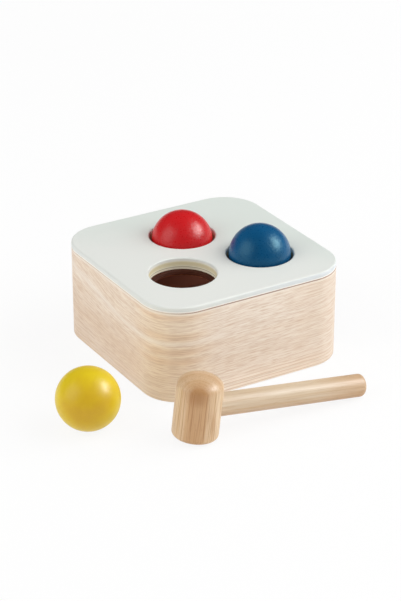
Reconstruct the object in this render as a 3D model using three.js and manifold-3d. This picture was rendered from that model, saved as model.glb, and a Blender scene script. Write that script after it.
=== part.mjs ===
// Ball pounding toy: a square wooden box with rounded corners, a painted lid with three holes,
// rubber grip rings that hold a ball in each hole, a sloped floor that rolls a struck ball out
// on the right, three balls and a mallet.
// Millimetres, +Z up. The origin is the centre of the box's underside and the front faces -Y.

import * as THREE from 'three';
import { mergeVertices } from 'three/addons/utils/BufferGeometryUtils.js';
import Module from 'manifold-3d';

const wasm = await Module();
wasm.setup();

// Balls and the holes that take them
const ballDiameter = 46.2;
const holeClearance = 1.9;
const holeEdgeRadius = 1.2;
const holePatternY = -8.3;
const redSeatDepth = 4.3;
const blueSeatDepth = 1.0;

// Rubber grip rings, clamped between the lid and the clamp plate
const ringThickness = 3;
const ringClampWidth = 4;
const ringSpacing = 8.2;
const gripOverlap = 1.7;
const gripGap = 0.3;
const ringFit = 0.3;
const ringSeatGap = 0.1;

// Box: walls, base panel and lid
const wallThickness = 12;
const cornerRadius = 30;
const basePanelThickness = 6;
const lidEdgeThickness = 4.5;
const lidSpigotDepth = 4.5;
const lidSpigotFit = 0.3;
const lidTopEdgeRadius = 1.5;
const seamEdgeRadius = 0.5;
const baseEdgeRadius = 1;

// Clamp plate under the lid
const clampPlateThickness = 5;
const clampPlateRim = 5.4;
const clampPlateFit = 0.5;
const plateHoleClearance = 1.4;

// Sloped floor and the exit in the right wall
const rampHighThickness = 8;
const rampLowThickness = 2.5;
const rampFit = 0.5;
const dropClearance = 1.8;
const exitSideClearance = 1.8;
const exitTopClearance = 1.3;
const exitCornerRadius = 16;
const exitChamfer = 2;

// Countersunk screws
const screwFit = 0.3;
const screwSink = 0.3;
const largeScrew = { headRadius: 3.8, headHeight: 2.4, shankRadius: 1.9, tipLength: 3 };
const smallScrew = { headRadius: 3, headHeight: 1.8, shankRadius: 1.4, tipLength: 2 };
const wallBite = 14;
const lidBite = 6;
const rampBite = 4.2;
const clampScrewInset = 10.5;
const rampScrewSpread = 60;
const rampScrewFromLeft = 28;

// Mallet
const headRadius = 16.6;
const headLength = 47;
const headDomeHeight = 9;
const headRimRadius = 3.4;
const handleRadius = 8.35;
const handleHeight = 21.75;
const handleReach = 133.6;
const handleEndRadius = 3.2;
const handleInnerChamfer = 1;
const socketFloor = 6;
const socketFit = 0.3;

// Where the loose pieces lie, from the box's front left corner
const yellowBallLeft = 57.2;
const yellowBallBehind = 6.4;
const malletLeft = 0.6;
const malletInFront = 43.6;
const malletHeading = -3.9;

// Facets of the round forms
const cornerSteps = 8;
const edgeSteps = 3;
const edgeStepsPerMillimetre = 2;
const holeFacets = 48;
const ballFacets = 32;
const malletFacets = 36;
const screwFacets = 12;
const gripSteps = 4;

// Sizes that follow from the ones above
const ballRadius = ballDiameter / 2;
const holeRadius = ballRadius + holeClearance;
const ringOuterRadius = holeRadius + ringClampWidth;
const ringFreeRadius = ballRadius - gripOverlap;
const holeSpacing = 2 * ringOuterRadius + ringSpacing;
const chamberSide = holeSpacing + 2 * (ringOuterRadius + clampPlateRim + clampPlateFit);
const chamberCornerRadius = Math.max(cornerRadius - wallThickness, seamEdgeRadius);
const chamberHeight = rampHighThickness + ballDiameter + dropClearance;
const boxSide = chamberSide + 2 * wallThickness;
const wallBottom = basePanelThickness;
const clampPlateBottom = wallBottom + chamberHeight;
const lidUnderside = clampPlateBottom + clampPlateThickness;
const wallTop = lidUnderside + lidSpigotDepth;
const lidTop = wallTop + lidEdgeThickness;
const ringBottom = lidUnderside - ringThickness;
const cutMargin = 5;
const weldDistance = 1e-4;

const frontRowY = holePatternY - holeSpacing / (2 * Math.sqrt(3));
const backRowY = holePatternY + holeSpacing / Math.sqrt(3);
const holes = [
  { place: 'back', x: 0, y: backRowY, seatDepth: redSeatDepth },
  { place: 'left', x: -holeSpacing / 2, y: frontRowY, seatDepth: null },
  { place: 'right', x: holeSpacing / 2, y: frontRowY, seatDepth: blueSeatDepth },
];

const finishes = {
  paleWood: { color: 0xe3cdb0, roughness: 0.6 },
  plywood: { color: 0xd9c3a0, roughness: 0.7 },
  whitePaint: { color: 0xe4e6e0, roughness: 0.45 },
  redPaint: { color: 0xbe2226, roughness: 0.4 },
  bluePaint: { color: 0x044c76, roughness: 0.4 },
  yellowPaint: { color: 0xdac323, roughness: 0.4 },
  malletWood: { color: 0xd7b996, roughness: 0.6 },
  darkRubber: { color: 0x3a1f16, roughness: 0.85 },
  steel: { color: 0xb8babd, roughness: 0.35, metalness: 0.9 },
};

const toy = new THREE.Group();

// A closed three.js geometry as a solid, with its seams welded and its empty triangles left out
function toSolid(geometry) {
  const bare = geometry.clone();
  bare.deleteAttribute('normal');
  bare.deleteAttribute('uv');
  const welded = mergeVertices(bare, weldDistance);
  const corners = welded.index.array;
  const triVerts = [];
  for (let i = 0; i < corners.length; i += 3) {
    const [a, b, c] = corners.slice(i, i + 3);
    if (a !== b && b !== c && c !== a) triVerts.push(a, b, c);
  }
  const vertProperties = welded.attributes.position.array;
  const mesh = new wasm.Mesh({ numProp: 3, vertProperties, triVerts: new Uint32Array(triVerts) });
  return new wasm.Manifold(mesh);
}

function toGeometry(solid) {
  const { vertProperties, triVerts } = solid.getMesh();
  const indexed = new THREE.BufferGeometry();
  indexed.setAttribute('position', new THREE.BufferAttribute(vertProperties, 3));
  indexed.setIndex(new THREE.BufferAttribute(triVerts, 1));
  const flat = indexed.toNonIndexed();
  flat.computeVertexNormals();
  return flat;
}

function addPiece(name, solid, finish, parent = toy) {
  const piece = new THREE.Mesh(toGeometry(solid), new THREE.MeshStandardMaterial(finish));
  piece.name = name;
  parent.add(piece);
  return piece;
}

// A square with rounded corners, centred on the origin
function roundedSquare(side, radius) {
  const reach = side / 2 - radius;
  const shape = new THREE.Shape();
  shape.absarc(reach, reach, radius, 0, Math.PI / 2);
  shape.absarc(-reach, reach, radius, Math.PI / 2, Math.PI);
  shape.absarc(-reach, -reach, radius, Math.PI, 1.5 * Math.PI);
  shape.absarc(reach, -reach, radius, 1.5 * Math.PI, 2 * Math.PI);
  return shape;
}

// A board of that outline from one height to another, its edges rounded by the same radius
function board(side, radius, bottom, top, edgeRadius = 0) {
  const geometry = new THREE.ExtrudeGeometry(roundedSquare(side, radius), {
    depth: top - bottom - 2 * edgeRadius,
    curveSegments: cornerSteps,
    bevelEnabled: edgeRadius > 0,
    bevelThickness: edgeRadius,
    bevelSize: edgeRadius,
    bevelOffset: -edgeRadius,
    bevelSegments: Math.ceil(edgeRadius * edgeStepsPerMillimetre),
  });
  return toSolid(geometry.translate(0, 0, bottom + edgeRadius));
}

// A board whose lower and upper edges are rounded by different radii
function easedBoard(side, radius, bottom, top, lowerEdge, upperEdge) {
  const easedBelow = board(side, radius, bottom, top + cutMargin, lowerEdge);
  const easedAbove = board(side, radius, bottom - cutMargin, top, upperEdge);
  return easedBelow.intersect(easedAbove);
}

// A form turned about +Z from a profile of [radius, height] that runs upwards on its outside
function turned(profile, facets) {
  const points = profile.map(([radius, height]) => new THREE.Vector2(radius, height));
  return toSolid(new THREE.LatheGeometry(points, facets).rotateX(Math.PI / 2));
}

// Points of an arc about a centre, angles in degrees
function arc(centreX, centreY, radiusX, radiusY, from, to, steps) {
  return Array.from({ length: steps + 1 }, (_, i) => {
    const angle = THREE.MathUtils.degToRad(from + ((to - from) * i) / steps);
    return [centreX + radiusX * Math.cos(angle), centreY + radiusY * Math.sin(angle)];
  });
}

// Countersunk screw along +Z with its head's face at z = 0; grow makes the hole it sits in
function screw(size, length, grow = 0) {
  const faceHeight = grow > 0 ? -cutMargin : 0;
  const faceRadius = size.headRadius + grow;
  const bodyRadius = size.shankRadius + grow;
  const reach = length + grow;
  return turned([
    [0, faceHeight],
    [faceRadius, faceHeight],
    [faceRadius, grow],
    [bodyRadius, size.headHeight + grow],
    [bodyRadius, reach - size.tipLength],
    [0, reach],
  ], screwFacets);
}

// Screws stand on one height at a list of places; the boards they pass through are cut to suit
const screwHoles = [];

function addScrews(names, places, size, length, z) {
  places.forEach(([x, y], i) => {
    addPiece(names[i], screw(size, length).translate(x, y, z), finishes.steel);
    screwHoles.push(screw(size, length, screwFit).translate(x, y, z));
  });
}

function cutForScrews(solid) {
  return screwHoles.reduce((left, hole) => left.subtract(hole), solid);
}

function fourCorners(reach) {
  return [[-reach, -reach], [reach, -reach], [reach, reach], [-reach, reach]];
}

const wallMidReach = boxSide / 2 - cornerRadius + (cornerRadius - wallThickness / 2) * Math.SQRT1_2;
const clampScrewReach = chamberSide / 2 - clampScrewInset;
const rampScrewX = -chamberSide / 2 + rampScrewFromLeft;

addScrews(
  [1, 2, 3, 4].map((n) => `base_screw_${n}`),
  fourCorners(wallMidReach),
  largeScrew,
  basePanelThickness + wallBite,
  screwSink,
);
addScrews(
  [1, 2, 3, 4].map((n) => `clamp_screw_${n}`),
  fourCorners(clampScrewReach),
  smallScrew,
  clampPlateThickness + lidBite,
  clampPlateBottom + screwSink,
);
addScrews(
  ['ramp_screw_front', 'ramp_screw_back'],
  [[rampScrewX, -rampScrewSpread / 2], [rampScrewX, rampScrewSpread / 2]],
  smallScrew,
  basePanelThickness + rampBite,
  screwSink,
);

// Base panel, flush with the walls
function basePanel() {
  return cutForScrews(
    easedBoard(boxSide, cornerRadius, 0, basePanelThickness, baseEdgeRadius, seamEdgeRadius),
  );
}

// Exit outline: wide enough for balls that roll in from both rows, with round upper corners
function exitOutline() {
  const halfWidth = (backRowY - frontRowY + ballDiameter) / 2 + exitSideClearance;
  const height = rampLowThickness + ballDiameter + exitTopClearance;
  const shape = new THREE.Shape();
  shape.moveTo(-halfWidth, -cutMargin);
  shape.lineTo(halfWidth, -cutMargin);
  shape.absarc(halfWidth - exitCornerRadius, height - exitCornerRadius, exitCornerRadius, 0, Math.PI / 2);
  shape.absarc(exitCornerRadius - halfWidth, height - exitCornerRadius, exitCornerRadius, Math.PI / 2, Math.PI);
  return shape;
}

// Walls: one ring with rounded corners, open below on the right for the exit
function wallRing() {
  const outside = board(boxSide, cornerRadius, wallBottom, wallTop, seamEdgeRadius);
  const chamber = board(chamberSide, chamberCornerRadius, wallBottom - cutMargin, wallTop + cutMargin);
  const passage = new THREE.ExtrudeGeometry(exitOutline(), {
    depth: 2 * wallThickness,
    curveSegments: cornerSteps,
    bevelEnabled: false,
  });
  // The flare opens the passage by the chamfer at the wall's outer face
  const flare = new THREE.ExtrudeGeometry(exitOutline(), {
    depth: wallThickness,
    curveSegments: cornerSteps,
    bevelThickness: exitChamfer,
    bevelSize: exitChamfer,
    bevelSegments: 1,
  });
  const exitY = (backRowY + frontRowY) / 2;
  const stand = (geometry, x) => toSolid(
    geometry.rotateX(Math.PI / 2).rotateZ(Math.PI / 2).translate(x, exitY, wallBottom),
  );
  const ring = outside
    .subtract(chamber)
    .subtract(stand(passage, boxSide / 2 - 1.5 * wallThickness))
    .subtract(stand(flare, boxSide / 2));
  return cutForScrews(ring);
}

// Lid: a board with a spigot that drops inside the walls, and three holes with rounded edges
function lid() {
  const plate = easedBoard(boxSide, cornerRadius, wallTop, lidTop, seamEdgeRadius, lidTopEdgeRadius);
  const spigotSide = chamberSide - 2 * lidSpigotFit;
  const spigotRadius = Math.max(chamberCornerRadius - lidSpigotFit, seamEdgeRadius);
  const spigot = board(spigotSide, spigotRadius, lidUnderside, wallTop + seamEdgeRadius);
  const edge = arc(
    holeRadius + holeEdgeRadius, lidTop - holeEdgeRadius, holeEdgeRadius, holeEdgeRadius, 180, 90, edgeSteps,
  );
  const hole = turned([
    [0, lidUnderside - cutMargin],
    [holeRadius, lidUnderside - cutMargin],
    ...edge,
    [holeRadius + holeEdgeRadius, lidTop + cutMargin],
    [0, lidTop + cutMargin],
  ], holeFacets);
  const drilled = holes.reduce(
    (left, { x, y }) => left.subtract(hole.translate(x, y, 0)),
    plate.add(spigot),
  );
  return cutForScrews(drilled);
}

// Clamp plate: holds the rings up against the lid in stepped holes
function clampPlate() {
  const plateSide = chamberSide - 2 * clampPlateFit;
  const plateRadius = Math.max(chamberCornerRadius - clampPlateFit, seamEdgeRadius);
  const throat = ballRadius + plateHoleClearance;
  const recess = ringOuterRadius + ringFit;
  const steppedHole = turned([
    [0, clampPlateBottom - cutMargin],
    [throat, clampPlateBottom - cutMargin],
    [throat, ringBottom],
    [recess, ringBottom],
    [recess, lidUnderside + cutMargin],
    [0, lidUnderside + cutMargin],
  ], holeFacets);
  const plate = holes.reduce(
    (left, { x, y }) => left.subtract(steppedHole.translate(x, y, 0)),
    board(plateSide, plateRadius, clampPlateBottom, lidUnderside),
  );
  return cutForScrews(plate);
}

// Grip ring: its inner lip is stretched to the ball that it holds, or hangs free in an empty hole
function gripRing(seatDepth) {
  const bottom = ringBottom + ringSeatGap;
  const top = lidUnderside - ringSeatGap;
  const lip = Array.from({ length: gripSteps + 1 }, (_, i) => {
    const z = THREE.MathUtils.lerp(top, bottom, i / gripSteps);
    if (seatDepth === null) return [ringFreeRadius, z];
    const below = lidTop - seatDepth - z;
    const ballHere = Math.sqrt(Math.max(ballRadius ** 2 - below ** 2, 0));
    return [Math.max(ringFreeRadius, ballHere + gripGap), z];
  });
  return turned([
    [ringOuterRadius, bottom],
    [ringOuterRadius, top],
    ...lip,
    [ringOuterRadius, bottom],
  ], holeFacets);
}

// Ramp: a wedge that fills the chamber's floor and falls towards the exit
function ramp() {
  const rampSide = chamberSide - 2 * rampFit;
  const rampRadius = Math.max(chamberCornerRadius - rampFit, seamEdgeRadius);
  const side = new THREE.Shape();
  side.moveTo(-rampSide / 2, 0);
  side.lineTo(rampSide / 2, 0);
  side.lineTo(rampSide / 2, rampLowThickness);
  side.lineTo(-rampSide / 2, rampHighThickness);
  const wedge = new THREE.ExtrudeGeometry(side, { depth: rampSide, bevelEnabled: false });
  wedge.rotateX(Math.PI / 2).translate(0, rampSide / 2, basePanelThickness);
  const floor = board(rampSide, rampRadius, basePanelThickness, basePanelThickness + rampHighThickness);
  return cutForScrews(floor.intersect(toSolid(wedge)));
}

function ball() {
  return toSolid(new THREE.SphereGeometry(ballRadius, ballFacets, ballFacets / 2).rotateX(Math.PI / 2));
}

addPiece('base_panel', basePanel(), finishes.plywood);
addPiece('wall_ring', wallRing(), finishes.paleWood);
addPiece('lid', lid(), finishes.whitePaint);
addPiece('clamp_plate', clampPlate(), finishes.plywood);
addPiece('ramp', ramp(), finishes.plywood);
for (const { place, x, y, seatDepth } of holes) {
  addPiece(`grip_ring_${place}`, gripRing(seatDepth).translate(x, y, 0), finishes.darkRubber);
}

const [backHole, , rightHole] = holes;
addPiece('red_ball', ball(), finishes.redPaint).position.set(backHole.x, backHole.y, lidTop - redSeatDepth);
addPiece('blue_ball', ball(), finishes.bluePaint).position.set(rightHole.x, rightHole.y, lidTop - blueSeatDepth);
addPiece('yellow_ball', ball(), finishes.yellowPaint).position.set(
  -boxSide / 2 - yellowBallLeft,
  -boxSide / 2 + yellowBallBehind,
  ballRadius,
);

// Mallet head: a turned bullet standing on +Z, with a blind socket for the handle along +X
function malletHead() {
  const bullet = turned([
    [0, 0],
    ...arc(headRadius - headRimRadius, headRimRadius, headRimRadius, headRimRadius, -90, 0, edgeSteps + 1),
    ...arc(0, headLength - headDomeHeight, headRadius, headDomeHeight, 0, 90, 2 * edgeSteps),
  ], malletFacets);
  const socketRadius = handleRadius + socketFit;
  const socket = turned([
    [0, socketFloor - headRadius],
    [socketRadius, socketFloor - headRadius],
    [socketRadius, headRadius + cutMargin],
    [0, headRadius + cutMargin],
  ], malletFacets);
  return bullet.subtract(socket.rotate([0, 90, 0]).translate(0, 0, handleHeight));
}

// Mallet handle: a dowel along +X from the socket's floor to its rounded end
function malletHandle() {
  const innerEnd = socketFloor - headRadius + socketFit;
  const dowel = turned([
    [0, innerEnd],
    [handleRadius - handleInnerChamfer, innerEnd],
    [handleRadius, innerEnd + handleInnerChamfer],
    ...arc(
      handleRadius - handleEndRadius, handleReach - handleEndRadius, handleEndRadius, handleEndRadius,
      0, 90, edgeSteps + 1,
    ),
    [0, handleReach],
  ], malletFacets);
  return dowel.rotate([0, 90, 0]).translate(0, 0, handleHeight);
}

// The mallet leans until the head's rim and the handle's end both touch the table
const rimX = headRadius - headRimRadius;
const endX = handleReach - handleEndRadius;
const endZ = handleHeight - handleRadius + handleEndRadius;
const slope = Math.atan2(endZ - headRimRadius, endX - rimX);
const between = Math.hypot(endX - rimX, endZ - headRimRadius);
const lean = slope - Math.asin((handleEndRadius - headRimRadius) / between);

const mallet = new THREE.Group();
mallet.rotation.set(0, lean, THREE.MathUtils.degToRad(malletHeading), 'ZYX');
mallet.position.set(
  -boxSide / 2 - malletLeft,
  -boxSide / 2 - malletInFront,
  headRimRadius + rimX * Math.sin(lean) - headRimRadius * Math.cos(lean),
);
toy.add(mallet);
addPiece('mallet_head', malletHead(), finishes.malletWood, mallet);
addPiece('mallet_handle', malletHandle(), finishes.malletWood, mallet);

export default toy;
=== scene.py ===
import math

import bmesh
import bpy
from mathutils import Euler, Matrix, Vector


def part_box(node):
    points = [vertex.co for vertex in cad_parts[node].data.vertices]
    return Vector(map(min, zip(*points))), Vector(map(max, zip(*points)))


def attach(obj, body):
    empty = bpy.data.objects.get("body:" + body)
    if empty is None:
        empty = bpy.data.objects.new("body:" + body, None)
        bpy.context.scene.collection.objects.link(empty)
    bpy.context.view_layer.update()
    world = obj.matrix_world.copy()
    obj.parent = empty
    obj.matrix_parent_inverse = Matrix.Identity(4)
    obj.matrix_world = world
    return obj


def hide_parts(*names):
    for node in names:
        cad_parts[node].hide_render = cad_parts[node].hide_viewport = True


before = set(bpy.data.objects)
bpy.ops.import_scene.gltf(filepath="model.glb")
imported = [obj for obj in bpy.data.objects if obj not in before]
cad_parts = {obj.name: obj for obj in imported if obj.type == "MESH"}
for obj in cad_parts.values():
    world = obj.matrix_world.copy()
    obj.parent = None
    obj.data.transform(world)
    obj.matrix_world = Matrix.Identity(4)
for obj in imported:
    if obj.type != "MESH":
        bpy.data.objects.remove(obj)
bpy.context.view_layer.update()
print("frame:", len(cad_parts), "nodes")

mm = 0.001      # pieces are modelled in millimetres and scaled when their mesh is made
near = 0.001    # millimetres within which two places count as one
weld = 0.0001   # millimetres within which points are merged
past = 5        # millimetres that a cutter runs past what it cuts
sharpFrom = 40  # degrees from which an edge is shaded sharp


# A colour as it looks on screen, 0 to 255, turned into the linear values that shaders take
def tint(*levels):
    shares = [level / 255 for level in levels]
    return tuple(s / 12.92 if s < 0.04045 else ((s + 0.055) / 1.055) ** 2.4 for s in shares) + (1,)


# One output of a node; arithmetic on it adds Math nodes
class Signal:
    def __init__(self, shading, socket):
        self.shading = shading
        self.socket = socket

    def output(self, name):
        return Signal(self.shading, self.socket.node.outputs[name])

    def __add__(self, other):
        return self.shading.math("ADD", self, other)

    def __radd__(self, other):
        return self.shading.math("ADD", other, self)

    def __sub__(self, other):
        return self.shading.math("SUBTRACT", self, other)

    def __rsub__(self, other):
        return self.shading.math("SUBTRACT", other, self)

    def __mul__(self, other):
        return self.shading.math("MULTIPLY", self, other)

    def __rmul__(self, other):
        return self.shading.math("MULTIPLY", other, self)

    def __truediv__(self, other):
        return self.shading.math("DIVIDE", self, other)

    def __rtruediv__(self, other):
        return self.shading.math("DIVIDE", other, self)

    def __pow__(self, other):
        return self.shading.math("POWER", self, other)

    def __rpow__(self, other):
        return self.shading.math("POWER", other, self)

    def __abs__(self):
        return self.shading.math("ABSOLUTE", self)


# The nodes of one tree
class Shading:
    def __init__(self, tree):
        self.tree = tree

    def feed(self, socket, value):
        if isinstance(value, Signal):
            self.tree.links.new(value.socket, socket)
        else:
            socket.default_value = value

    def node(self, kind, settings=None, sockets=None, out=0):
        made = self.tree.nodes.new(kind)
        for label, value in (settings or {}).items():
            if label == "stops":
                ramp = made.color_ramp
                while len(ramp.elements) < len(value):
                    ramp.elements.new(1)
                for element, (position, color) in zip(ramp.elements, value):
                    element.position = position
                    element.color = color
            else:
                setattr(made, label, value)
        for label, value in (sockets or {}).items():
            self.feed(made.inputs[label], value)
        return Signal(self, made.outputs[out])

    def math(self, operation, *values):
        return self.node("ShaderNodeMath", {"operation": operation}, dict(enumerate(values)))

    # Object coordinates in millimetres, from a place and turn of the pattern
    def coordinates(self, place=(0, 0, 0), turn=(0, 0, 0)):
        spot = self.node("ShaderNodeMapping", {"vector_type": "TEXTURE"}, {
            "Vector": self.node("ShaderNodeTexCoord").output("Object"),
            "Location": place,
            "Rotation": turn,
            "Scale": (mm, mm, mm),
        })
        apart = self.node("ShaderNodeSeparateXYZ", sockets={"Vector": spot})
        return apart.output("X"), apart.output("Y"), apart.output("Z")

    def noise(self, x, y, z, detail=2, roughness=0.5):
        spot = self.node("ShaderNodeCombineXYZ", sockets={"X": x, "Y": y, "Z": z})
        return self.node("ShaderNodeTexNoise", sockets={
            "Vector": spot, "Scale": 1, "Detail": detail, "Roughness": roughness,
        })

    # Noise of the same size in every direction
    def cloud(self, axes, size, detail=2):
        return self.noise(*[axis / size for axis in axes], detail)

    # 0 below low, 1 above high, smooth between them
    def rise(self, value, low, high):
        return self.node("ShaderNodeMapRange", {"interpolation_type": "SMOOTHSTEP"}, {
            "Value": value, "From Min": low, "From Max": high,
        })

    # 1 below low, 0 above high
    def fall(self, value, low, high):
        return 1 - self.rise(value, low, high)

    def mix(self, share, first, second):
        sockets = {0: share, 6: first, 7: second}
        return self.node("ShaderNodeMix", {"data_type": "RGBA"}, sockets, out=2)

    def ramp(self, value, stops):
        return self.node("ShaderNodeValToRGB", {"stops": stops}, {"Fac": value})


# A material: its Principled shader's fixed values, and the nodes that vary over the surface
class Finish(Shading):
    def __init__(self, name, sockets):
        self.material = bpy.data.materials.new(name)
        self.material.use_nodes = True
        super().__init__(self.material.node_tree)
        self.shader = self.tree.nodes["Principled BSDF"]
        for label, value in sockets.items():
            self.shader.inputs[label].default_value = value

    def relief(self, height, depth, strength):
        sockets = {"Height": height, "Distance": depth * mm, "Strength": strength}
        self.feed(self.shader.inputs["Normal"], self.node("ShaderNodeBump", sockets=sockets))

    def color(self, value):
        self.feed(self.shader.inputs["Base Color"], value)

    def roughness(self, value):
        self.feed(self.shader.inputs["Roughness"], value)

    # Roughness about a middle value, varied by a noise
    def uneven(self, noise, middle, spread):
        self.roughness(middle + spread * (noise - 0.5))


# From the first value, where the mask is 0, to the last one, where it is 1
def between(first, last, mask):
    return first + (last - first) * mask


# Lowest and highest corners of a CAD node, in millimetres
def nodeBox(node):
    low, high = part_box(node)
    return low / mm, high / mm


def newPiece(name, bm):
    bmesh.ops.scale(bm, vec=(mm, mm, mm), verts=bm.verts)
    mesh = bpy.data.meshes.new(name)
    bm.to_mesh(mesh)
    bm.free()
    piece = bpy.data.objects.new(name, mesh)
    bpy.context.scene.collection.objects.link(piece)
    return piece


# Takes the cutters' shapes away from a piece and removes the cutters
def cutAway(piece, cutters):
    for cutter in cutters:
        cut = piece.modifiers.new("cut", "BOOLEAN")
        cut.operation = "DIFFERENCE"
        cut.solver = "EXACT"
        cut.object = cutter
    evaluated = piece.evaluated_get(bpy.context.evaluated_depsgraph_get())
    whole = piece.data
    piece.data = bpy.data.meshes.new_from_object(evaluated)
    piece.modifiers.clear()
    piece.data.name = piece.name
    bpy.data.meshes.remove(whole)
    for cutter in cutters:
        bpy.data.meshes.remove(cutter.data)


# Smooth shading over gentle edges; flat faces keep their own normals
def shadeSmooth(piece):
    piece.data.shade_smooth()
    piece.data.set_sharp_from_angle(angle=math.radians(sharpFrom))
    weighted = piece.modifiers.new("flat_faces", "WEIGHTED_NORMAL")
    weighted.keep_sharp = True


# Puts a finished piece on its body, in place of its CAD node
def join(piece, body, finish, node):
    piece.data.materials.append(finish.material)
    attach(piece, body)
    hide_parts(node)


def everything(bm):
    return bm.verts[:] + bm.edges[:] + bm.faces[:]


def easeEdges(bm, edges, radius, segments):
    bmesh.ops.bevel(
        bm, geom=edges, offset=radius, offset_type="OFFSET", affect="EDGES",
        segments=segments, profile=0.5, material=-1,
    )


boardSteps = {"corner": 24, "edge": 5}  # steps in the rounds of each board


# A square board with round corners and eased edges, divided along lines that pass through its holes
def roundedBoard(side, bottom, top, corner, lowerEdge=0, upperEdge=0, linesX=(0,), linesY=(0,)):
    bm = bmesh.new()
    spread = Matrix.Diagonal((side, side, top - bottom, 1))
    bmesh.ops.create_cube(bm, size=1, matrix=Matrix.Translation((0, 0, (bottom + top) / 2)) @ spread)
    upright = [edge for edge in bm.edges if abs(edge.verts[0].co.z - edge.verts[1].co.z) > near]
    easeEdges(bm, upright, corner, boardSteps["corner"])
    for height, radius in ((top, upperEdge), (bottom, lowerEdge)):
        if radius > 0:
            rim = [edge for edge in bm.edges if all(abs(v.co.z - height) < near for v in edge.verts)]
            easeEdges(bm, rim, radius, boardSteps["edge"])
    lines = [((x, 0, 0), (1, 0, 0)) for x in linesX] + [((0, y, 0), (0, 1, 0)) for y in linesY]
    for spot, across in lines:
        bmesh.ops.bisect_plane(bm, geom=everything(bm), plane_co=spot, plane_no=across)
    return bm


# A form turned about +Z from a profile of (radius, height)
def turnedForm(profile, steps, closed=False):
    bm = bmesh.new()
    points = [bm.verts.new((radius, 0, height)) for radius, height in profile]
    runs = list(zip(points, points[1:])) + [(points[-1], points[0])] * closed
    edges = [bm.edges.new(run) for run in runs]
    bmesh.ops.spin(
        bm, geom=points + edges, cent=(0, 0, 0), axis=(0, 0, 1), angle=math.tau, steps=steps, use_merge=True,
    )
    bmesh.ops.remove_doubles(bm, verts=bm.verts, dist=weld)
    bmesh.ops.recalc_face_normals(bm, faces=bm.faces)
    return bm


# Rounds the edge of a turned form that runs at a radius and a height
def easeRim(bm, radius, height, size, segments):
    def onRim(v):
        return abs(v.co.xy.length - radius) < near and abs(v.co.z - height) < near
    easeEdges(bm, [edge for edge in bm.edges if all(map(onRim, edge.verts))], size, segments)


# Points of an ellipse about a centre, from one angle to another in degrees
def arcPoints(centre, radii, start, end, steps):
    turns = [math.radians(start + (end - start) * i / steps) for i in range(steps + 1)]
    return [(centre[0] + radii[0] * math.cos(a), centre[1] + radii[1] * math.sin(a)) for a in turns]


def moved(bm, place, turn=Matrix.Identity(3)):
    bmesh.ops.transform(bm, matrix=Matrix.Translation(place) @ turn.to_4x4(), verts=bm.verts)
    return bm


# Direction from the toy, in degrees right of its front and above the floor
def direction(azimuth, elevation):
    turn, lift = math.radians(azimuth), math.radians(elevation)
    return Vector((math.sin(turn) * math.cos(lift), -math.cos(turn) * math.cos(lift), math.sin(lift)))


# Pale hardwood of the walls: thin layers that lie level at the front and fan out up the left side.
# Lengths are in millimetres. A pair of places is where a mark starts and where it is full, or gone.
paleWoodLook = {
    "pale": tint(250, 240, 227),
    "middle": tint(243, 224, 202),
    "dark": tint(224, 193, 162),
    "light": tint(249, 231, 204),   # front corner: painted light
    "warm": tint(230, 195, 158),    # bands across the front corner
    "cool": tint(226, 214, 200),    # right end: painted shade against the stronger light there
    "line": tint(207, 174, 145),
    # seam: colour of the painted shade in the gap under the lid
    "seam": tint(138, 94, 66),
    "stain": tint(138, 78, 55),     # inner faces: painted shade, the dark brown of the shaded inside
    "gloss": 0.3,
    "roughness": (0.5, 0.2),        # middle and spread
    "relief": (0.1, 0.3),           # depth and strength
    "level": -30,       # the layers lie level in front of this place
    "fan": 0.0052,      # how fast they spread behind it, per millimetre
    "bend": 35,         # how softly they begin to spread
    "slope": 0.022,     # how fast they rise along the front
    "slopeFrom": -50,
    "sway": 3.5,        # how far they wander
    "swayLength": 60,
    # Grain: its length and thickness, the noise levels at which it shows, and its share.
    # The two shares of the fine grain and of the dashes are for the foot and for above it.
    "broad": {"size": (110, 12), "detail": 2, "levels": (0.34, 0.6), "share": (0.35, 0.75)},
    "bands": {"size": (40, 3.2), "detail": 2, "levels": (0.42, 0.72), "share": 0.18},
    "fine": {"size": (30, 0.9), "detail": 2, "levels": (0.47, 0.68), "share": (0.06, 0.26)},
    "dashes": {"size": (10, 0.6), "detail": 1, "levels": (0.48, 0.64), "share": (0.1, 0.42)},
    "hair": {"size": (18, 0.4), "detail": 1, "levels": (0.48, 0.62), "share": 0.32},
    # Tones and marks that belong to one place
    # front: painted light, the front face paler towards the left
    "front": {"x": (0, 75), "y": (-79, -66), "layers": (40, 46), "share": (0.45, 0.8)},
    "lower": {"x": (-80, -50), "layers": (30, 43), "share": 0.35},
    "shadedRightEnd": {"x": (35, 78), "share": 0.75},
    "corner": {"diagonal": (-142, -112), "share": 0.6},
    "cornerBands": {"layers": (33, 41, 53, 68), "width": (0.8, 4), "share": 0.42},
    "streak": {"layer": 47.5, "width": (0.4, 2.8), "x": (-50, -10), "share": 0.45},
    "foot": {"top": (8, 14), "x": (-78, -60), "share": (0.3, 0.65)},
    "footLines": {"spacing": 2.6, "offset": 0.9, "sharpness": 4},
    # rim: painted highlight along the wall's top edge, under the seam
    "rim": {"below": (3, 1.2), "share": 0.9},
    # gap: painted shade in the gap under the lid, fainter on the left
    "gap": {"width": (0.4, 1), "x": (-78, -50), "share": (0.3, 1)},
    # where the inner faces begin; they take the painted shade of the inside
    "inside": (68.6, 69.4),
}


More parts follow.
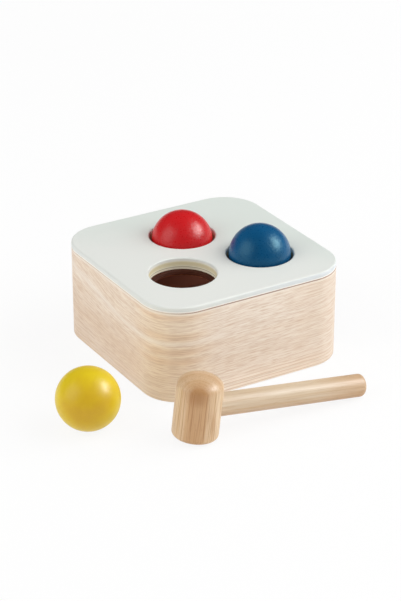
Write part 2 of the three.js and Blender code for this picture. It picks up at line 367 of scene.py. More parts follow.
def paleWood(name, seam, paintedSeamShare, paintedShadeShare=0):
    look = paleWoodLook
    wood = Finish(name, {"Specular IOR Level": look["gloss"]})
    x, y, z = wood.coordinates()
    wander = wood.cloud((x, y, z), look["swayLength"]) - 0.5
    reach = wood.math("MAXIMUM", y - look["level"], 0)
    spread = (reach * reach + look["bend"] ** 2) ** 0.5 - look["bend"]
    flat = z - look["slope"] * (x - look["slopeFrom"])
    layer = flat / (1 + look["fan"] * spread) + look["sway"] * wander

    grains, marks = {}, {}
    for kind in ("broad", "bands", "fine", "dashes", "hair"):
        length, thickness = look[kind]["size"]
        grains[kind] = wood.noise(x / length, y / length, layer / thickness, look[kind]["detail"])
        marks[kind] = wood.rise(grains[kind], *look[kind]["levels"])
    tone = wood.mix(between(*look["broad"]["share"], marks["broad"]), look["pale"], look["middle"])
    tone = wood.mix(look["bands"]["share"] * marks["bands"], tone, look["dark"])

    front, lower, end = look["front"], look["lower"], look["shadedRightEnd"]
    # Painted light: the front face paler towards the left
    paler = between(*front["share"], wood.rise(layer, *front["layers"]))
    paler = wood.fall(y, *front["y"]) * wood.fall(x, *front["x"]) * paler
    tone = wood.mix(paler, tone, look["pale"])
    darker = wood.fall(layer, *lower["layers"]) * wood.fall(x, *lower["x"])
    tone = wood.mix(lower["share"] * darker, tone, look["dark"])
    # Painted shade: the right end cooler and darker
    tone = wood.mix(end["share"] * wood.rise(x, *end["x"]), tone, look["cool"])

    corner, bands = wood.fall(x + y, *look["corner"]["diagonal"]), look["cornerBands"]
    # Painted light: the front corner paler
    tone = wood.mix(look["corner"]["share"] * corner, tone, look["light"])
    for level in bands["layers"]:
        band = corner * wood.fall(abs(layer - level), *bands["width"])
        tone = wood.mix(bands["share"] * band, tone, look["warm"])

    foot, growth, streak = look["foot"], look["footLines"], look["streak"]
    above = wood.rise(z, *foot["top"])
    tone = wood.mix(between(*look["fine"]["share"], above) * marks["fine"], tone, look["line"])
    tone = wood.mix(between(*look["dashes"]["share"], above) * marks["dashes"], tone, look["line"])
    tone = wood.mix(look["hair"]["share"] * marks["hair"], tone, look["line"])
    paler = wood.fall(abs(layer - streak["layer"]), *streak["width"]) * wood.fall(x, *streak["x"])
    tone = wood.mix(streak["share"] * paler, tone, look["pale"])
    # A few clear growth lines along the foot
    wave = wood.math("COSINE", (z + growth["offset"] + wander) * (math.tau / growth["spacing"]))
    lines = between(*foot["share"], wood.rise(x, *foot["x"])) * (0.5 + 0.5 * wave) ** growth["sharpness"]
    tone = wood.mix(lines * (1 - above), tone, look["line"])

    # The seam: a painted highlight along the wall's top edge under it, and painted shade in the gap
    rim, gap = look["rim"], look["gap"]
    edge = wood.rise(z, *[seam - depth for depth in rim["below"]])
    tone = wood.mix(rim["share"] * paintedSeamShare * edge, tone, look["pale"])
    dark = wood.fall(abs(z - seam), *gap["width"]) * between(*gap["share"], wood.rise(x, *gap["x"]))
    tone = wood.mix(paintedSeamShare * dark, tone, look["seam"])
    # Painted shade: the inner faces take the dark brown of the shaded inside
    inner = wood.fall(wood.math("MAXIMUM", abs(x), abs(y)), *look["inside"])
    wood.color(wood.mix(paintedShadeShare * inner, tone, look["stain"]))
    wood.uneven(grains["dashes"], *look["roughness"])
    wood.relief(grains["dashes"], *look["relief"])
    return wood


# Camera at the photograph's angle, lengths in millimetres
cameraView = {
    "azimuth": -30.967,
    "elevation": 26.272,
    "aim": Vector((0, 0, 37.88)),
    "distance": 1515.729,
    "across": 1.466,
    "above": 4.173,
    "focalPixels": 2014.205,
    "imageHeight": 601,     # pixels
    "sensorHeight": 36,
    "clipEnd": 100,         # metres
}


def addCamera():
    view = cameraView
    back = direction(view["azimuth"], view["elevation"])
    right = Vector((0, 0, 1)).cross(back).normalized()
    up = back.cross(right)
    eye = view["aim"] - right * view["across"] - up * view["above"] + back * view["distance"]
    data = bpy.data.cameras.new("camera")
    data.sensor_fit = "VERTICAL"
    data.sensor_height = view["sensorHeight"]
    data.lens = view["sensorHeight"] * view["focalPixels"] / view["imageHeight"]
    data.clip_end = view["clipEnd"]
    camera = bpy.data.objects.new("camera", data)
    camera.matrix_world = Matrix.Translation(eye * mm) @ Matrix((right, up, back)).transposed().to_4x4()
    bpy.context.scene.collection.objects.link(camera)
    bpy.context.scene.camera = camera


addCamera()
print("camera placed")

# Studio: a white floor, a soft box on each side, a smaller one for the highlights, and a grey room
studio = {
    "floorReach": 14,               # metres
    "floorColor": (0.95, 0.95, 0.95, 1),
    "floorGlow": 0.88,
    "floorClear": (500, 1800),      # distances over which the floor turns pure white, in millimetres
    "room": (0.46, 0.46, 0.46, 1),
    "roomInGloss": (0.08, 0.08, 0.08, 1),
    "backdrop": (1, 1, 1, 1),
    "distance": 2.2,                # metres from the toy to each lamp
    "lamps": [
        {"name": "right_lamp", "azimuth": 61, "elevation": 37, "roll": 0, "size": (2.4, 2.0), "power": 41,
         "glossy": False},
        {"name": "right_glint", "azimuth": 61, "elevation": 37, "roll": 34, "size": (1.15, 0.66), "power": 56,
         "diffuse": False},
        {"name": "left_lamp", "azimuth": -97, "elevation": 30, "roll": 0, "size": (1.8, 1.9), "power": 19},
    ],
}


def addFloor():
    bm = bmesh.new()
    bmesh.ops.create_grid(bm, x_segments=1, y_segments=1, size=studio["floorReach"] / mm)
    floor = newPiece("floor", bm)
    white = Finish("studio_white", {})
    ray = white.node("ShaderNodeLightPath")
    seen = white.math("MAXIMUM", ray.output("Is Camera Ray"), ray.output("Is Glossy Ray"))
    seen = white.math("MAXIMUM", seen, ray.output("Is Transmission Ray"))
    matte = white.node("ShaderNodeBsdfDiffuse", sockets={"Color": studio["floorColor"]})
    glow = white.node("ShaderNodeEmission", sockets={"Strength": 1})
    x, y, _ = white.coordinates()
    clear = white.rise((x * x + y * y) ** 0.5, *studio["floorClear"])
    share = seen * between(studio["floorGlow"], 1, clear)
    both = white.node("ShaderNodeMixShader", sockets={0: share, 1: matte, 2: glow})
    white.feed(white.tree.nodes["Material Output"].inputs["Surface"], both)
    white.tree.nodes.remove(white.shader)
    floor.data.materials.append(white.material)


def addLamps():
    for lamp in studio["lamps"]:
        away = direction(lamp["azimuth"], lamp["elevation"])
        data = bpy.data.lights.new(lamp["name"], "AREA")
        data.shape = "RECTANGLE"
        data.size, data.size_y = lamp["size"]
        data.energy = lamp["power"]
        soft = bpy.data.objects.new(lamp["name"], data)
        roll = Matrix.Rotation(math.radians(lamp["roll"]), 3, "Z")
        facing = away.to_track_quat("Z", "Y").to_matrix() @ roll
        soft.matrix_world = Matrix.Translation(away * studio["distance"]) @ facing.to_4x4()
        soft.visible_diffuse = lamp.get("diffuse", True)
        soft.visible_glossy = lamp.get("glossy", True)
        bpy.context.scene.collection.objects.link(soft)


def addRoom():
    world = bpy.data.worlds.new("room")
    world.use_nodes = True
    walls = Shading(world.node_tree)
    ray = walls.node("ShaderNodeLightPath")
    shade = walls.mix(ray.output("Is Glossy Ray"), studio["room"], studio["roomInGloss"])
    shade = walls.mix(ray.output("Is Camera Ray"), shade, studio["backdrop"])
    walls.feed(world.node_tree.nodes["Background"].inputs["Color"], shade)
    bpy.context.scene.world = world
    bpy.context.scene.view_settings.view_transform = "Standard"


addFloor()
addLamps()
addRoom()
print("studio lit")

# Walls: one ring of pale wood, open on the right where the balls roll out
wallDesign = {
    "thickness": 12,
    "corner": 30,
    "seamEdge": 0.5,
    # how strongly the painted highlight and painted shade of the seam under the lid show
    "paintedSeamShare": 0.75,      # how clearly the seam under the lid shows
    "exitCentre": 1.26,
    "exitHalfWidth": 53.56,
    "exitHeight": 50,
    "exitCorner": 16,
    "exitCornerSteps": 14,
    "exitEdge": 2,
    "exitEdgeSteps": 6,
}


# The exit's outline pushed out through the right wall; a round edge widens it at the outer face
def exitForm(low, high):
    half, tall, edge = wallDesign["exitHalfWidth"], wallDesign["exitHeight"], wallDesign["exitEdge"]
    centre = Vector((0, wallDesign["exitCentre"], low.z))
    bm = bmesh.new()
    start = high.x - wallDesign["thickness"] - past
    outline = [(-half, -past), (half, -past), (half, tall), (-half, tall)]
    corners = [bm.verts.new(centre + Vector((start, y, z))) for y, z in outline]
    bm.faces.new(corners)
    bmesh.ops.bevel(
        bm, geom=corners[2:], offset=wallDesign["exitCorner"], offset_type="OFFSET", affect="VERTICES",
        segments=wallDesign["exitCornerSteps"], profile=0.5, material=-1,
    )
    bm.faces.ensure_lookup_table()
    mouth = bm.faces[0]
    steps = wallDesign["exitEdgeSteps"]
    depths = [math.sin(math.radians(90 * i / steps)) * edge for i in range(steps + 1)]
    stations = [(high.x - edge + depth, edge - math.sqrt(edge ** 2 - depth ** 2)) for depth in depths]
    lastX, lastGrow = start, 0
    for x, grow in stations + [(high.x + past, edge)]:
        grown = bmesh.ops.extrude_face_region(bm, geom=[mouth])["geom"]
        if lastX > start:
            bmesh.ops.delete(bm, geom=[mouth], context="FACES")
        mouth = next(item for item in grown if isinstance(item, bmesh.types.BMFace))
        wider = (1, (half + grow) / (half + lastGrow), (tall + grow) / (tall + lastGrow))
        bmesh.ops.scale(bm, vec=wider, space=Matrix.Translation(-centre), verts=mouth.verts)
        bmesh.ops.translate(bm, vec=(x - lastX, 0, 0), verts=mouth.verts)
        lastX, lastGrow = x, grow
    bmesh.ops.recalc_face_normals(bm, faces=bm.faces)
    return bm


def addWalls():
    low, high = nodeBox("wall_ring")
    side, thickness, corner = high.x - low.x, wallDesign["thickness"], wallDesign["corner"]
    edge = wallDesign["seamEdge"]
    walls = newPiece("walls", roundedBoard(side, low.z, high.z, corner, edge, edge))
    chamber = roundedBoard(side - 2 * thickness, low.z - past, high.z + past, corner - thickness)
    cutAway(walls, [newPiece("chamber", chamber), newPiece("exit", exitForm(low, high))])
    shadeSmooth(walls)
    wood = paleWood("pale_wood", high.z, wallDesign["paintedSeamShare"], paintedShadeShare=1)
    join(walls, "box", wood, "wall_ring")


addWalls()
print("walls made")

# Lid: painted board with a spigot inside the walls and three holes that show its plies
lidDesign = {
    "topEdge": 1.5,
    "seamEdge": 0.5,
    "spigot": 4.5,
    "rebate": 12.3,
    "holeRadius": 25,
    "holeSteps": 128,
    "holeEdge": 1.2,
    "holeEdgeSteps": 6,
    # white and shaded: the top's paint, with painted shade growing towards the right and the back
    "white": tint(232, 234, 229),
    "shaded": tint(223, 230, 224),
    # side: painted shade on the rounded edge and the side, darker and bluer to the right
    "side": [tint(228, 231, 226), tint(222, 227, 229)],     # left, right
    # lip: painted light on the lower edge of the side, by the seam
    "lip": tint(254, 251, 244),
    "gloss": 0.2,
    "roughness": (0.5, 0.1, 0.25),  # middle, spread, and what bare wood adds
    "relief": (0.03, 0.25),         # depth and strength
    "clouds": 55,
    "specks": 0.8,
    "shadeReach": (140, 160),       # how slowly the shading grows to the right and to the back
    "shadeLevels": (0.2, 0.9),
    "shadedSideReach": (-70, 70),
    "shadedSideDepth": (0.1, 1),          # depths below the top at which the painted shade of the side and the painted light of the lip begin
    "paintedLightDepth": (3.2, 3.8),
    "bareDepth": (1, 1.3),          # below this, inside the rim, the wood is bare
    "bareReach": (66, 67),
    "plyWave": (9, 0.25),           # length and height of the plies' waves
    "plyFibre": (2.5, 0.35),        # length and thickness
    "fibre": tint(190, 166, 116),
    "fibreShare": 0.12,
    # plies seen in the holes, by depth below the top in millimetres; their own tones, made paler as painted
    # light against the shade in the holes
    "plies": [
        (1.0, tint(250, 250, 246)), (1.6, tint(252, 251, 244)), (2.6, tint(254, 251, 238)),
        (3.1, tint(244, 236, 204)), (4.4, tint(234, 223, 184)), (6.0, tint(246, 237, 204)),
        (6.4, tint(254, 250, 230)), (6.8, tint(252, 246, 222)), (7.2, tint(180, 164, 128)),
        (7.6, tint(252, 246, 226)), (9.0, tint(248, 238, 214)),
    ],
}


def lidPaint(top):
    look = lidDesign
    paint = Finish("white_paint", {"Specular IOR Level": look["gloss"]})
    x, y, z = paint.coordinates()
    speck = paint.cloud((x, y, z), look["specks"])
    right, back = look["shadeReach"]
    shade = paint.cloud((x, y, z), look["clouds"]) + y / back + x / right
    plain = paint.mix(paint.rise(shade, *look["shadeLevels"]), look["white"], look["shaded"])
    length, height = look["plyWave"]
    depth = top - z + height * (paint.noise(x / length, y / length, 0.0) - 0.5)
    span = look["plies"][-1][0]
    plies = paint.ramp(depth / span, [(stop / span, color) for stop, color in look["plies"]])
    length, thickness = look["plyFibre"]
    fibre = paint.noise(x / length, y / length, z / thickness)
    plies = paint.mix(look["fibreShare"] * fibre, plies, look["fibre"])
    inside = paint.fall(paint.math("MAXIMUM", abs(x), abs(y)), *look["bareReach"])
    # Painted shade on the edge and side, growing to the right; painted light on the lower edge by the seam
    side = paint.mix(paint.rise(x, *look["shadedSideReach"]), *look["side"])
    side = paint.mix(paint.rise(depth, *look["paintedLightDepth"]), side, look["lip"])
    plain = paint.mix(paint.rise(depth, *look["shadedSideDepth"]) * (1 - inside), plain, side)
    bare = inside * paint.rise(depth, *look["bareDepth"])
    paint.color(paint.mix(bare, plain, plies))
    middle, spread, rougher = look["roughness"]
    paint.roughness(middle + spread * (speck - 0.5) + rougher * bare)
    paint.relief(speck, *look["relief"])
    return paint


def holeForm(bottom, top):
    radius, edge = lidDesign["holeRadius"], lidDesign["holeEdge"]
    eased = arcPoints((radius + edge, top - edge), (edge, edge), 180, 90, lidDesign["holeEdgeSteps"])
    low, high = bottom - past, top + past
    profile = [(0, low), (radius, low)] + eased + [(radius + edge, high), (0, high)]
    return turnedForm(profile, lidDesign["holeSteps"])


def addLid():
    low, high = nodeBox("lid")
    seam, edge = low.z + lidDesign["spigot"], lidDesign["seamEdge"]
    centres = [sum(nodeBox("grip_ring_" + place), Vector()) / 2 for place in ("back", "left", "right")]
    linesX, linesY = {centre.x for centre in centres}, {centre.y for centre in centres}
    bm = roundedBoard(
        high.x - low.x, seam, high.z, wallDesign["corner"], edge, lidDesign["topEdge"], linesX, linesY,
    )
    under = [face for face in bm.faces if abs(face.calc_center_median().z - seam) < near]
    bmesh.ops.inset_region(bm, faces=under, thickness=lidDesign["rebate"] - edge, use_even_offset=True)
    grown = bmesh.ops.extrude_face_region(bm, geom=under)["geom"]
    bmesh.ops.delete(bm, geom=under, context="FACES")
    spigot = [item for item in grown if isinstance(item, bmesh.types.BMVert)]
    bmesh.ops.translate(bm, vec=(0, 0, -lidDesign["spigot"]), verts=spigot)
    bmesh.ops.recalc_face_normals(bm, faces=bm.faces)
    lid = newPiece("painted_lid", bm)
    holes = [moved(holeForm(low.z, high.z), (spot.x, spot.y, 0)) for spot in centres]
    cutAway(lid, [newPiece("hole", hole) for hole in holes])
    shadeSmooth(lid)
    join(lid, "box", lidPaint(high.z), "lid")


addLid()
print("lid made")

# Screws with a cross recess, sunk into the underside and into the clamp plate
screwDesign = {
    "headHeight": 0.62,     # this and the next five are shares of the head's radius
    "shank": 0.5,
    "tip": 0.8,
    "recessReach": 0.6,
    "recessWidth": 0.24,
    "recessDepth": 0.34,
    "clearance": 0.3,       # millimetres round a screw in its hole
    "steps": 32,
    "pale": tint(196, 198, 200),
    "dark": tint(168, 170, 172),
    "brushed": (0.3, 1.5),      # thickness and length of the brush marks
    "roughness": (0.3, 0.5),    # smoothest and roughest
}


def zincPlate():
    zinc = Finish("zinc_plate", {"Metallic": 1.0})
    x, y, z = zinc.coordinates()
    thickness, length = screwDesign["brushed"]
    brushed = zinc.noise(x / thickness, y / length, z / thickness)
    zinc.color(zinc.mix(brushed, screwDesign["pale"], screwDesign["dark"]))
    zinc.roughness(between(*screwDesign["roughness"], brushed))
    return zinc


def addScrews():
    zinc, design = zincPlate(), screwDesign
    for node in sorted(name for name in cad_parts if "_screw_" in name):
        low, high = nodeBox(node)
        head, length = (high.x - low.x) / 2, high.z - low.z
        shank = head * design["shank"]
        screw = turnedForm([
            (0, 0), (head, 0), (shank, head * design["headHeight"]),
            (shank, length - head * design["tip"]), (0, length),
        ], design["steps"])
        centre = (low + high) / 2
        spot = (centre.x, centre.y, low.z)
        piece = newPiece(node.replace("screw", "fixing"), moved(screw, spot))
        shares = [design["recessReach"], design["recessWidth"], design["recessDepth"]]
        recess = Matrix.Diagonal([2 * head * share for share in shares] + [1])
        cutters = []
        for turn in (0, 90):
            bar = bmesh.new()
            bmesh.ops.create_cube(bar, size=1, matrix=recess)
            cutters.append(newPiece("recess", moved(bar, spot, Matrix.Rotation(math.radians(turn), 3, "Z"))))
        cutAway(piece, cutters)
        shadeSmooth(piece)
        join(piece, "box", zinc, node)


addScrews()
print("screws made")

# Base panel, flush with the walls, with countersunk holes for the screws
baseDesign = {
    "edge": 1,
    "seamEdge": 0.5,
    # faint painted highlight and painted shade at the seam on top of the base
    "paintedSeamShare": 0.1,
    "holeTurn": 4,      # degrees, so that no corner of a hole falls on the lines through it
}


def addBase():
    low, high = nodeBox("base_panel")
    names = [name for name in sorted(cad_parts) if name.startswith(("base_screw", "ramp_screw"))]
    screws = [nodeBox(name) for name in names]
    centres = [(screwLow + screwHigh) / 2 for screwLow, screwHigh in screws]
    bm = roundedBoard(
        high.x - low.x, low.z, high.z, wallDesign["corner"], baseDesign["edge"], baseDesign["seamEdge"],
        {round(spot.x, 3) for spot in centres}, {round(spot.y, 3) for spot in centres},
    )
    base = newPiece("base_board", bm)
    turn = Matrix.Rotation(math.radians(baseDesign["holeTurn"]), 3, "Z")
    cutters = []
    for (screwLow, screwHigh), centre in zip(screws, centres):
        head = (screwHigh.x - screwLow.x) / 2 + screwDesign["clearance"]
        shank = head * screwDesign["shank"] + screwDesign["clearance"]
        mouth = screwLow.z + screwDesign["clearance"]
        sunk = turnedForm([
            (0, -past), (head, -past), (head, mouth), (shank, mouth + head * screwDesign["headHeight"]),
            (shank, high.z + past), (0, high.z + past),
        ], screwDesign["steps"])
        cutters.append(newPiece("sunk_hole", moved(sunk, (centre.x, centre.y, 0), turn)))
    cutAway(base, cutters)
    shadeSmooth(base)
    join(base, "box", paleWood("base_wood", high.z, baseDesign["paintedSeamShare"]), "base_panel")


addBase()
print("base made")

# Rubber rings under the lid; a ring that holds a ball is stretched to it
ringDesign = {
    "freeRadius": 21.4,
    "gap": 0.3,
    "edge": 0.6,
    "steps": 96,
    "lipSteps": 10,
    "edgeSteps": 4,
    # color: dark brown, set to match the painted shade inside the box
    "color": tint(72, 37, 26),
    "worn": tint(80, 42, 30),
    "lip": tint(96, 52, 37),        # inner face, lightened as painted light against the shade on it
    "paintedLightDepth": (0.6, 1.4),
    "mottle": 3,
    "wornLevels": (0.4, 0.7),
    "gloss": 0.12,
    "roughness": (0.8, 0.2),        # middle and spread
    "relief": (0.1, 0.3),           # depth and strength
}


def darkRubber(top):
    look = ringDesign
    rubber = Finish("dark_rubber", {"Specular IOR Level": look["gloss"]})
    x, y, z = rubber.coordinates()
    mottle = rubber.cloud((x, y, z), look["mottle"], detail=3)
    tone = rubber.mix(rubber.rise(mottle, *look["wornLevels"]), look["color"], look["worn"])
    # Painted light: the inner face, which lies in shade, is lightened
    rubber.color(rubber.mix(rubber.rise(top - z, *look["paintedLightDepth"]), tone, look["lip"]))
    rubber.uneven(mottle, *look["roughness"])
    rubber.relief(mottle, *look["relief"])
    return rubber


def addRings():
    rubber = darkRubber(nodeBox("grip_ring_left")[1].z)
    free, steps = ringDesign["freeRadius"], ringDesign["lipSteps"]
    for place, ball in (("back", "red_ball"), ("left", None), ("right", "blue_ball")):
        node = "grip_ring_" + place
        low, high = nodeBox(node)
        centre, outer = (low + high) / 2, (high.x - low.x) / 2
        if ball:
            ballLow, ballHigh = nodeBox(ball)
            middle, radius = (ballLow.z + ballHigh.z) / 2, (ballHigh.z - ballLow.z) / 2
            heights = [high.z + (low.z - high.z) * i / steps for i in range(steps + 1)]
            held = [math.sqrt(radius ** 2 - (middle - z) ** 2) + ringDesign["gap"] for z in heights]
            lip = [(max(free, r), z) for r, z in zip(held, heights)]
        else:
            lip = [(free, high.z), (free, low.z)]
        ring = turnedForm([(outer, low.z), (outer, high.z)] + lip, ringDesign["steps"], closed=True)
        for radius, height in (lip[0], lip[-1]):
            easeRim(ring, radius, height, ringDesign["edge"], ringDesign["edgeSteps"])
        piece = newPiece("rubber_ring_" + place, moved(ring, (centre.x, centre.y, 0)))
        shadeSmooth(piece)
        join(piece, "box", rubber, node)


addRings()
print("rings made")

# Balls: turned wood under satin stain, with a small flat where the lathe held each pole
ballDesign = {
    "flat": 0.05,
    "steps": 128,
    "poleSteps": 64,            # from pole to pole
    "shadedHeart": Vector((-0.51, -0.84, 0.15)),      # side facing the camera and away from the lamps, darkened as painted shade
    "shadedHeartLevels": (0.3, 1),
    "shadedHeartShare": 0.6,
    "clouds": (14, 26),         # across the grain and along it
    "cloudLevels": (0.35, 0.7),
    "cloudShare": 0.2,
    "grain": (1.3, 6),          # across and along
    "grainShare": 0.2,
    "specks": 1.2,
    "roughnessSpread": 0.2,
    "reliefStrength": 0.9,
    # tilt: degrees by which the poles lean, and the way they are turned
    # light and deep: the stain's tones; deep carries the clouds and grain and also the painted shade
    "red": {
        "light": tint(215, 16, 24), "deep": tint(194, 11, 19), "sheen": (1, 0.9, 0.88, 1),
        "tilt": (70, 20), "relief": 0.35, "gloss": 0.53, "roughness": 0.3,
    },
    "blue": {
        "light": tint(0, 86, 135), "deep": tint(0, 64, 105), "sheen": (0.46, 0.94, 1, 1),
        "tilt": (75, -60), "relief": 0.35, "gloss": 0.53, "roughness": 0.3,
    },
    "yellow": {
        "light": tint(233, 206, 10), "deep": tint(206, 160, 28), "sheen": (1, 1, 0.97, 1),
        "tilt": (80, 120), "relief": 0.12, "gloss": 0.4, "roughness": 0.36,
    },
}


def ballStain(name, look, centre, radius, turn):
    design = ballDesign
    stain = Finish(name, {"Specular IOR Level": look["gloss"], "Specular Tint": look["sheen"]})
    x, y, z = stain.coordinates(place=centre * mm, turn=turn)
    across, along = design["clouds"]
    cloud = stain.noise(x / across, y / across, z / along)
    across, along = design["grain"]
    grain = stain.noise(x / across, y / across, z / along, detail=3, roughness=0.6)
    speck = stain.cloud((x, y, z), design["specks"])
    # Painted shade: the side facing the camera is darkened towards the deep tone
    shadedHeart = turn.to_matrix().inverted() @ design["shadedHeart"]
    towards = (x * shadedHeart.x + y * shadedHeart.y + z * shadedHeart.z) / radius
    share = design["shadedHeartShare"] * stain.rise(towards, *design["shadedHeartLevels"])
    share = share + design["cloudShare"] * stain.rise(cloud, *design["cloudLevels"])
    stain.color(stain.mix(share + design["grainShare"] * grain, look["light"], look["deep"]))
    stain.uneven(speck, look["roughness"], design["roughnessSpread"])
    stain.relief(0.5 * grain + 0.5 * speck, look["relief"], design["reliefStrength"])
    return stain


def ballForm(radius):
    bm = bmesh.new()
    tip = bm.verts.new((0, 0, radius))
    bmesh.ops.spin(
        bm, geom=[tip], cent=(0, 0, 0), axis=(0, 1, 0), angle=math.pi, steps=ballDesign["poleSteps"],
    )
    bmesh.ops.spin(
        bm, geom=bm.verts[:] + bm.edges[:], cent=(0, 0, 0), axis=(0, 0, 1), angle=math.tau,
        steps=ballDesign["steps"], use_merge=True,
    )
    bmesh.ops.remove_doubles(bm, verts=bm.verts, dist=weld)
    for end in (1, -1):
        flat = (0, 0, end * (radius - ballDesign["flat"]))
        cut = bmesh.ops.bisect_plane(
            bm, geom=everything(bm), plane_co=flat, plane_no=(0, 0, end), clear_outer=True,
        )
        rim = [item for item in cut["geom_cut"] if isinstance(item, bmesh.types.BMEdge)]
        bmesh.ops.edgeloop_fill(bm, edges=rim)
    bmesh.ops.recalc_face_normals(bm, faces=bm.faces)
    return bm


def addBalls():
    for color in ("red", "blue", "yellow"):
        node, look = color + "_ball", ballDesign[color]
        low, high = nodeBox(node)
        centre, radius = (low + high) / 2, (high.z - low.z) / 2
        tilt, heading = [math.radians(angle) for angle in look["tilt"]]
        turn = Euler((tilt, 0, heading))
        ball = newPiece("turned_" + node, moved(ballForm(radius), centre, turn.to_matrix()))
        shadeSmooth(ball)
        join(ball, node, ballStain(color + "_stain", look, centre, radius, turn), node)


addBalls()
print("balls made")

# Mallet: a turned head with a blind socket, and a dowel handle that rests its end on the floor
malletDesign = {
    "headRadius": 16.6,
    "headLength": 47,
    "domeHeight": 9,
    "rimRadius": 3.4,
    "handleRadius": 8.35,
    "handleHeight": 21.75,
    "handleReach": 133.6,
    "handleEnd": 3.2,
    "innerChamfer": 1,
    "socketFloor": 6,
    "socketFit": 0.3,
    "place": (-80.6, -123.6),
    "heading": -3.9,            # degrees
    "steps": 96,
    "domeSteps": 16,
    "edgeSteps": 8,
    "chamferSteps": 3,
    "socketSteps": 64,
    "gloss": 0.4,
    "roughness": (0.4, 0.15),   # middle and spread
    "reliefStrength": 0.25,
    "sway": (60, 5),            # length and width of the rings' waves
    "rings": (2.2, 90),         # across the grain and along it
    "ringLevels": (0.3, 0.7),
    "fibreLength": 30,
    "fibreLevels": (0.47, 0.68),
    "flecks": (0.8, 5),         # across and along
    "fleckLevels": (0.62, 0.74),
    "fleckShare": 0.25,
    # shadedHeart: a heartwood tone that also paints shade on the head's side facing the camera and on the
    # handle's underside; pith, the rings' centre, lies on that side
    "headWood": {
        "pale": tint(229, 204, 170), "middle": tint(216, 183, 143), "dark": tint(168, 114, 66),
        "shadedHeart": tint(190, 134, 76), "shadedHeartShare": 0.75, "shadedHeartReach": (6, 20), "pith": (-13.4, -22.3),
        "browned": (35, 46), "brownShare": 0.35, "fibre": 0.75, "fibreShare": 0.6, "relief": 0.05,
    },
    "handleWood": {
        "pale": tint(222, 204, 179), "middle": tint(210, 184, 151), "dark": tint(184, 141, 98),
        "shadedHeart": tint(198, 150, 102), "shadedHeartShare": 0.6, "shadedHeartReach": (62, 74), "pith": (14, -46),
        "browned": (80, 135), "brownShare": 0.5, "fibre": 0.55, "fibreShare": 0.3, "relief": 0.03,
    },
    "darkSpot": (-8.9, -13.9, 37),      # darkest spot of the head, at its shoulder on the side facing the camera: partly a darker patch in the wood, partly painted shade
    "darkSpotTone": tint(164, 112, 60),
    "darkSpotReach": (1, 11),
    "darkSpotShare": 0.6,
    "domeReach": (36, 42),          # over this stretch the grain fades towards the polished dome
    "domeGrain": 0.4,               # what is left of it there
}


# The mallet leans until the head's rim and the handle's end both touch the floor
def malletStand():
    m = malletDesign
    rim = Vector((m["headRadius"] - m["rimRadius"], m["rimRadius"]))
    end = Vector((m["handleReach"] - m["handleEnd"], m["handleHeight"] - m["handleRadius"] + m["handleEnd"]))
    span = end - rim
    lean = math.atan2(span.y, span.x) - math.asin((m["handleEnd"] - m["rimRadius"]) / span.length)
    lift = m["rimRadius"] + rim.x * math.sin(lean) - m["rimRadius"] * math.cos(lean)
    return Vector((*m["place"], lift)), Euler((0, lean, math.radians(m["heading"])))


def malletWood(name, look, along):
    m = malletDesign
    place, turn = malletStand()
    wood = Finish(name, {"Specular IOR Level": m["gloss"]})
    x, y, z = wood.coordinates(place=place * mm, turn=turn)
    length, side, depth = {"head": (z, x, y), "handle": (x, y, z)}[along]
    swayLength, swayWidth = m["sway"]
    wander = wood.cloud((length, side, depth), swayLength) - 0.5
    pithSide, pithDepth = look["pith"]
    ringSide, ringDepth = side - pithSide + swayWidth * wander, depth - pithDepth
    ring = (ringSide * ringSide + ringDepth * ringDepth) ** 0.5
    thick, long = m["rings"]
    rings = wood.noise(ring / thick, length / long, 0.0)
    fibre = wood.noise(side / look["fibre"], depth / look["fibre"], length / m["fibreLength"], detail=1)
    thick, long = m["flecks"]
    fleck = wood.noise(side / thick, depth / thick, length / long)
    tone = wood.mix(wood.rise(rings, *m["ringLevels"]), look["pale"], look["middle"])
    # Partly heartwood, partly painted shade: darker towards the pith, on the head's side facing the camera
    # and the handle's underside
    tone = wood.mix(look["shadedHeartShare"] * wood.fall(ring, *look["shadedHeartReach"]), tone, look["shadedHeart"])
    tone = wood.mix(look["brownShare"] * wood.rise(length, *look["browned"]), tone, look["shadedHeart"])
    fade = 1
    if along == "head":
        # Partly a darker patch in the wood, partly painted shade on the shoulder facing the camera
        dx, dy, dz = [axis - spot for axis, spot in zip((x, y, z), m["darkSpot"])]
        away = (dx * dx + dy * dy + dz * dz) ** 0.5
        tone = wood.mix(m["darkSpotShare"] * wood.fall(away, *m["darkSpotReach"]), tone, m["darkSpotTone"])
        fade = between(1, m["domeGrain"], wood.rise(length, *m["domeReach"]))
    lines = look["fibreShare"] * fade * wood.rise(fibre, *m["fibreLevels"])
    tone = wood.mix(lines, tone, look["dark"])
    flecks = m["fleckShare"] * fade * wood.rise(fleck, *m["fleckLevels"])
    wood.color(wood.mix(flecks, tone, look["dark"]))
    wood.uneven(fibre, *m["roughness"])
    wood.relief(fibre, look["relief"], m["reliefStrength"])
    return wood


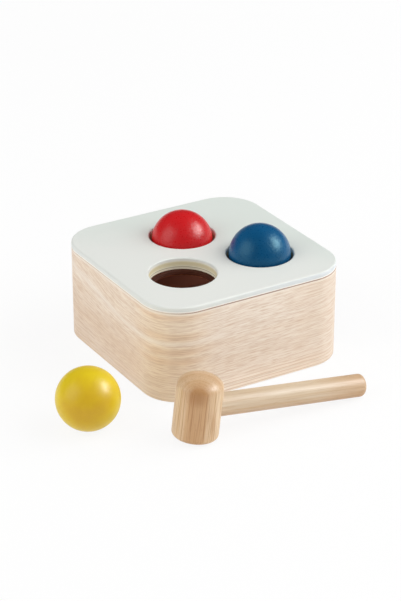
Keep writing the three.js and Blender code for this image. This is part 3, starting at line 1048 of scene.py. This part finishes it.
def addMallet():
    m = malletDesign
    place, stand = malletStand()
    turn = stand.to_matrix()
    lieAlong = Matrix.Rotation(math.radians(90), 3, "Y")    # turns +Z to +X
    radius, bore, reach = m["headRadius"], m["handleRadius"] + m["socketFit"], m["handleReach"]
    shoulder, floor = m["headLength"] - m["domeHeight"], m["socketFloor"] - radius
    dome = arcPoints((0, shoulder), (radius, m["domeHeight"]), 0, 90, m["domeSteps"])
    bullet = turnedForm([(0, 0), (radius, 0)] + dome, m["steps"])
    easeRim(bullet, radius, 0, m["rimRadius"], m["edgeSteps"])
    head = newPiece("turned_head", moved(bullet, place, turn))
    outside = radius + past
    socket = turnedForm([(0, floor), (bore, floor), (bore, outside), (0, outside)], m["socketSteps"])
    moved(socket, (0, 0, m["handleHeight"]), lieAlong)
    cutAway(head, [newPiece("socket", moved(socket, place, turn))])
    shadeSmooth(head)
    wood = malletWood("head_wood", m["headWood"], "head")
    join(head, "mallet", wood, "mallet_head")

    inner, radius = floor + m["socketFit"], m["handleRadius"]
    dowel = turnedForm([(0, inner), (radius, inner), (radius, reach), (0, reach)], m["steps"])
    easeRim(dowel, radius, inner, m["innerChamfer"], m["chamferSteps"])
    easeRim(dowel, radius, reach, m["handleEnd"], m["edgeSteps"])
    moved(dowel, (0, 0, m["handleHeight"]), lieAlong)
    handle = newPiece("dowel_handle", moved(dowel, place, turn))
    shadeSmooth(handle)
    wood = malletWood("handle_wood", m["handleWood"], "handle")
    join(handle, "mallet", wood, "mallet_handle")


addMallet()
print("mallet made")

# Clamp plate and ramp keep their CAD shape and get a dark brown that paints the shade inside the box; the
# clamp plate's, seen at its bore, is lighter, as painted light against the deeper shade there
plyDesign = {
    "clamp_plate": {"pale": tint(188, 114, 83), "dark": tint(164, 94, 67)},
    "ramp": {"pale": tint(142, 83, 60), "dark": tint(121, 67, 47)},
    "streaks": (40, 1.6, 1.2),  # along x, y and z
    "levels": (0.35, 0.7),
    "gloss": 0.25,
    "roughness": (0.65, 0.2),   # middle and spread
    "relief": (0.1, 0.3),       # depth and strength
}


def innerPly(name, look):
    design = plyDesign
    ply = Finish(name, {"Specular IOR Level": design["gloss"]})
    spot = [axis / size for axis, size in zip(ply.coordinates(), design["streaks"])]
    streak = ply.noise(*spot, detail=3, roughness=0.6)
    ply.color(ply.mix(ply.rise(streak, *design["levels"]), look["pale"], look["dark"]))
    ply.uneven(streak, *design["roughness"])
    ply.relief(streak, *design["relief"])
    return ply


def finishBoards():
    for node in ("clamp_plate", "ramp"):
        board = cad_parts[node]
        board.data.materials.clear()
        board.data.materials.append(innerPly(node + "_ply", plyDesign[node]).material)


finishBoards()
print("inner boards finished")
